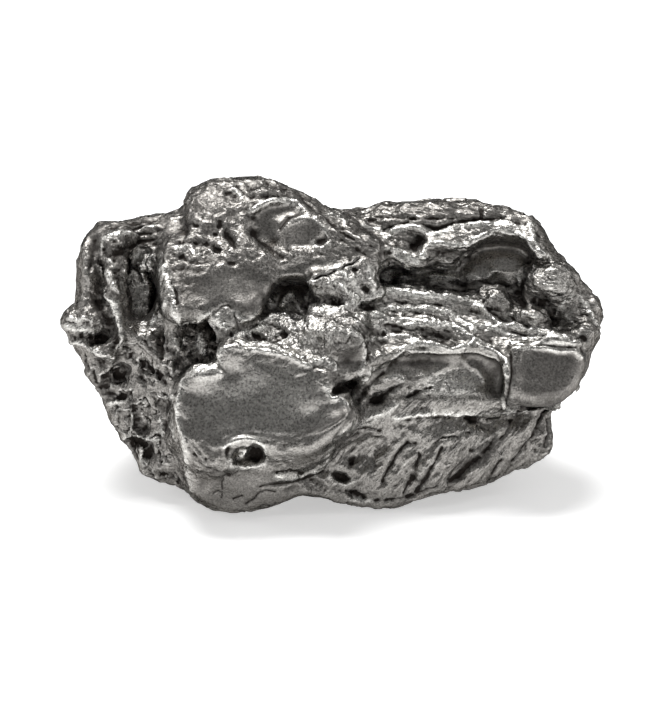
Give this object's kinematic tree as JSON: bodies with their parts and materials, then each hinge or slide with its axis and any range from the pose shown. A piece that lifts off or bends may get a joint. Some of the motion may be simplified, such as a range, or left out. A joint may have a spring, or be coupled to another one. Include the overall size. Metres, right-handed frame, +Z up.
{
  "type": "iron meteorite",
  "caption": "Palm-sized iron meteorite: a solid lump of brushed nickel-iron with a jutting brow, a cave under it, ledges, pits and thumbprints, resting on worn flats.",
  "frame": {"origin": "the point under the middle of the bounding box, on the surface that the stone rests on", "axes": "+X along its length, to the right as seen from its carved front; +Y away from that front, towards its back; +Z up"},
  "size_m": [0.0899, 0.0565, 0.0498],
  "materials": {
    "nickel_iron": "wire-brushed nickel-iron, semi-gloss, bright on the ridges, with a dark brown-black oxide left in the hollows"
  },
  "bodies": {
    "root": {"meteorite": "nickel_iron"}
  },
  "joints": []
}
